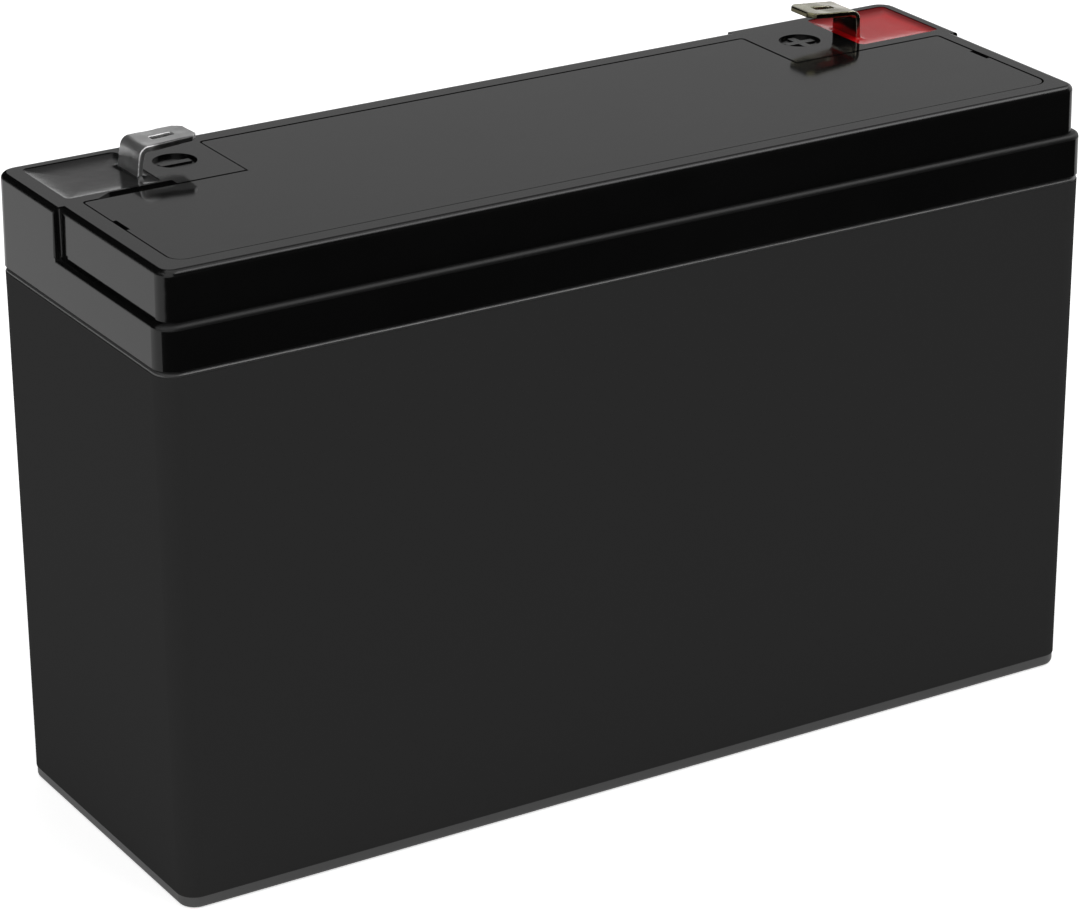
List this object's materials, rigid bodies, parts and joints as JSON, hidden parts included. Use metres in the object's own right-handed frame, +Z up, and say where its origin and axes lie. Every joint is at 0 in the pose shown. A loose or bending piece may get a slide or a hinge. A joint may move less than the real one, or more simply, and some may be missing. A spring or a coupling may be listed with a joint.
{
  "type": "sealed lead acid battery",
  "caption": "Slim rectangular sealed lead acid battery, a drafted jar with a stepped glossy cover, resin-filled corner wells and bent push-on terminal tabs.",
  "frame": {"origin": "centre of the underside that the battery stands on", "axes": "+X along the length towards the positive terminal, +Y to the rear long side where the terminals are, +Z up"},
  "size_m": [0.151, 0.051, 0.0979],
  "materials": {
    "container_abs": "moulded black ABS, satin gloss",
    "cover_abs": "moulded black ABS, glossy",
    "plate_abs": "moulded black ABS, glossy",
    "sealant": "cured black epoxy",
    "label_film": "blank matt dark film",
    "cap_rubber": "black valve rubber",
    "gasket_rubber": "black rubber",
    "negative_tab_metal": "tinned, bright",
    "positive_tab_metal": "tinned, slightly yellowed",
    "lead": "cast lead, dull grey",
    "black_resin": "poured black epoxy, glossy",
    "red_resin": "poured red epoxy, glossy",
    "negative_plate": "sponge lead plate, grey",
    "positive_plate": "lead dioxide plate, dark brown",
    "glass_mat": "white absorbent glass mat"
  },
  "bodies": {
    "root": {"cell_1_negative_plates": "negative_plate", "cell_1_positive_plates": "positive_plate", "cell_1_separator_1": "glass_mat", "cell_1_separator_2": "glass_mat", "cell_1_separator_3": "glass_mat", "cell_1_separator_4": "glass_mat", "cell_1_separator_5": "glass_mat", "cell_2_negative_plates": "negative_plate", "cell_2_positive_plates": "positive_plate", "cell_2_separator_1": "glass_mat", "cell_2_separator_2": "glass_mat", "cell_2_separator_3": "glass_mat", "cell_2_separator_4": "glass_mat", "cell_2_separator_5": "glass_mat", "cell_3_negative_plates": "negative_plate", "cell_3_positive_plates": "positive_plate", "cell_3_separator_1": "glass_mat", "cell_3_separator_2": "glass_mat", "cell_3_separator_3": "glass_mat", "cell_3_separator_4": "glass_mat", "cell_3_separator_5": "glass_mat", "cell_weld_1": "lead", "cell_weld_2": "lead", "container": "container_abs", "cover": "cover_abs", "cover_sealant": "sealant", "label_sleeve": "label_film", "negative_post": "lead", "negative_post_gasket": "gasket_rubber", "negative_resin": "black_resin", "negative_tab": "negative_tab_metal", "positive_post": "lead", "positive_post_gasket": "gasket_rubber", "positive_resin": "red_resin", "positive_tab": "positive_tab_metal", "valve_cap_1": "cap_rubber", "valve_cap_2": "cap_rubber", "valve_cap_3": "cap_rubber", "vent_plate": "plate_abs"}
  },
  "joints": []
}
